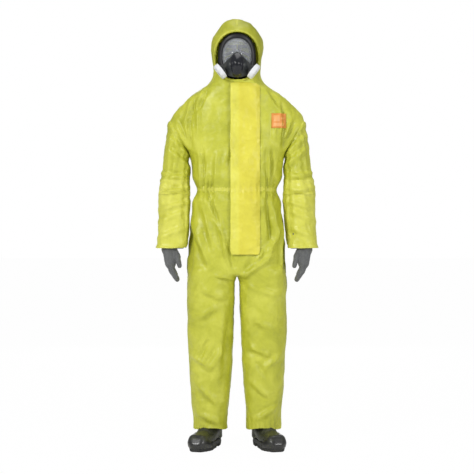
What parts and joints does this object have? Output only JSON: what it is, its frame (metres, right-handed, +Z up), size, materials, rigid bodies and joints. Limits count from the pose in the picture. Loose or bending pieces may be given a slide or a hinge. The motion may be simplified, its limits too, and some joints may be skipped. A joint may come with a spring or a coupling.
{
  "type": "chemical protective suit",
  "caption": "Hooded chemical protective coverall with full-face respirator, gloves and safety boots, standing as if worn, with nobody inside.",
  "frame": {"origin": "on the floor, under the middle of the whole outline", "axes": "+Z up, the suit faces -Y, +X towards the wearer's left side"},
  "size_m": [0.708, 0.319, 1.853],
  "materials": {
    "coverall_fabric": "satin",
    "flap_fabric": "satin",
    "elastic": "matte",
    "label": "matte",
    "zip_plastic": "satin",
    "zip_metal": "satin",
    "adhesive": "satin",
    "lens": "gloss",
    "mask_rubber": "matte",
    "mask_plastic": "satin",
    "valve_silicone": "matte",
    "filter_plastic": "satin",
    "filter_media": "matte",
    "glove_knit": "matte",
    "boot_rubber": "satin",
    "boot_sole": "matte"
  },
  "bodies": {
    "torso": {"torso_front_right": "coverall_fabric", "torso_front_left": "coverall_fabric", "torso_back": "coverall_fabric", "crotch_gusset": "coverall_fabric", "waist_elastic": "elastic", "chest_label": "label", "zip_guard": "coverall_fabric", "zip_tape_right": "elastic", "zip_tape_left": "elastic", "zip_chain": "zip_plastic", "zip_stops": "zip_metal", "hood_collar": "coverall_fabric", "head_harness": "mask_rubber"},
    "hood": {"hood_right": "coverall_fabric", "hood_left": "coverall_fabric", "hood_crown_tape": "flap_fabric", "face_elastic": "flap_fabric"},
    "flap": {"storm_flap": "flap_fabric", "flap_tape": "adhesive"},
    "slider": {"zip_slider": "zip_metal"},
    "pull": {"zip_pull": "zip_metal"},
    "mask": {"mask_lens": "lens", "lens_frame": "mask_plastic", "face_seal": "mask_rubber", "nose_cup": "mask_rubber", "front_housing": "mask_plastic", "exhalation_cover": "mask_plastic", "filter_ports": "mask_plastic", "filter_gaskets": "mask_rubber", "harness_buckles": "mask_plastic"},
    "exhalation_valve": {"exhalation_flap": "valve_silicone"},
    "inhalation_valve_right": {"inhalation_flap_right": "valve_silicone"},
    "filter_right": {"filter_shell_right": "filter_plastic", "filter_media_right": "filter_media"},
    "upper_arm_right": {"sleeve_upper_right": "coverall_fabric"},
    "forearm_right": {"sleeve_lower_right": "flap_fabric", "sleeve_seam_tape_right": "flap_fabric", "inner_cuff_right": "coverall_fabric"},
    "hand_right": {"glove_right": "glove_knit"},
    "thigh_right": {"leg_upper_right": "coverall_fabric"},
    "shin_right": {"leg_lower_right": "coverall_fabric", "ankle_elastic_right": "elastic", "boot_upper_right": "boot_rubber", "boot_sole_right": "boot_sole", "boot_toe_cap_right": "boot_rubber"},
    "inhalation_valve_left": {"inhalation_flap_left": "valve_silicone"},
    "filter_left": {"filter_shell_left": "filter_plastic", "filter_media_left": "filter_media"},
    "upper_arm_left": {"sleeve_upper_left": "coverall_fabric"},
    "forearm_left": {"sleeve_lower_left": "flap_fabric", "sleeve_seam_tape_left": "flap_fabric", "inner_cuff_left": "coverall_fabric"},
    "hand_left": {"glove_left": "glove_knit"},
    "thigh_left": {"leg_upper_left": "coverall_fabric"},
    "shin_left": {"leg_lower_left": "coverall_fabric", "ankle_elastic_left": "elastic", "boot_upper_left": "boot_rubber", "boot_sole_left": "boot_sole", "boot_toe_cap_left": "boot_rubber"}
  },
  "joints": [
    {"name": "hood_tilt", "type": "hinge", "parent": "torso", "child": "hood", "pos_m": [0, 0.1286, 1.5655], "axis": [-1, 0, 0], "range_deg": [0, 40]},
    {"name": "storm_flap_hinge", "type": "hinge", "parent": "torso", "child": "flap", "pos_m": [0.099, -0.0902, 1.1], "axis": [0, 0.042, 0.9991], "range_deg": [0, 120]},
    {"name": "zip_slide", "type": "slide", "parent": "torso", "child": "slider", "axis": [0, -0.0497, -0.9988], "range_m": [0, 0.65]},
    {"name": "zip_pull_hinge", "type": "hinge", "parent": "slider", "child": "pull", "pos_m": [0.035, -0.06655, 1.53791], "axis": [-1, 0, 0], "range_deg": [0, 5]},
    {"name": "mask_slide", "type": "slide", "parent": "torso", "child": "mask", "axis": [0, -1, 0], "range_m": [0, 0.03]},
    {"name": "exhalation_valve_lift", "type": "slide", "parent": "mask", "child": "exhalation_valve", "axis": [0, -1, 0], "range_m": [0, 0.0015]},
    {"name": "inhalation_valve_lift_right", "type": "slide", "parent": "mask", "child": "inhalation_valve_right", "axis": [0.785, 0.0687, 0.6157], "range_m": [0, 0.0015]},
    {"name": "filter_twist_right", "type": "hinge", "parent": "mask", "child": "filter_right", "pos_m": [-0.072, -0.0864, 1.612], "axis": [-0.785, -0.0687, -0.6157], "range_deg": [0, 60]},
    {"name": "shoulder_right", "type": "hinge", "parent": "torso", "child": "upper_arm_right", "pos_m": [-0.262, 0.0426, 1.452], "axis": [0, 1, 0], "range_deg": [0, 70]},
    {"name": "elbow_right", "type": "hinge", "parent": "upper_arm_right", "child": "forearm_right", "pos_m": [-0.27, -0.0464, 1.112], "axis": [-1, 0, 0], "range_deg": [0, 100]},
    {"name": "glove_slide_right", "type": "slide", "parent": "forearm_right", "child": "hand_right", "axis": [-0.0585, -0.05, -0.997], "range_m": [0, 0.1]},
    {"name": "hip_right", "type": "hinge", "parent": "torso", "child": "thigh_right", "pos_m": [-0.111, -0.0964, 0.742], "axis": [-1, 0, 0], "range_deg": [0, 70]},
    {"name": "knee_right", "type": "hinge", "parent": "thigh_right", "child": "shin_right", "pos_m": [-0.111, 0.1261, 0.49025], "axis": [1, 0, 0], "range_deg": [0, 95]},
    {"name": "inhalation_valve_lift_left", "type": "slide", "parent": "mask", "child": "inhalation_valve_left", "axis": [-0.785, 0.0687, 0.6157], "range_m": [0, 0.0015]},
    {"name": "filter_twist_left", "type": "hinge", "parent": "mask", "child": "filter_left", "pos_m": [0.072, -0.0864, 1.612], "axis": [0.785, -0.0687, -0.6157], "range_deg": [0, 60]},
    {"name": "shoulder_left", "type": "hinge", "parent": "torso", "child": "upper_arm_left", "pos_m": [0.262, 0.0426, 1.452], "axis": [0, -1, 0], "range_deg": [0, 70]},
    {"name": "elbow_left", "type": "hinge", "parent": "upper_arm_left", "child": "forearm_left", "pos_m": [0.27, -0.0464, 1.112], "axis": [-1, 0, 0], "range_deg": [0, 100]},
    {"name": "glove_slide_left", "type": "slide", "parent": "forearm_left", "child": "hand_left", "axis": [0.0585, -0.05, -0.997], "range_m": [0, 0.1]},
    {"name": "hip_left", "type": "hinge", "parent": "torso", "child": "thigh_left", "pos_m": [0.111, -0.0964, 0.742], "axis": [-1, 0, 0], "range_deg": [0, 70]},
    {"name": "knee_left", "type": "hinge", "parent": "thigh_left", "child": "shin_left", "pos_m": [0.111, 0.1261, 0.49025], "axis": [1, 0, 0], "range_deg": [0, 95]}
  ]
}
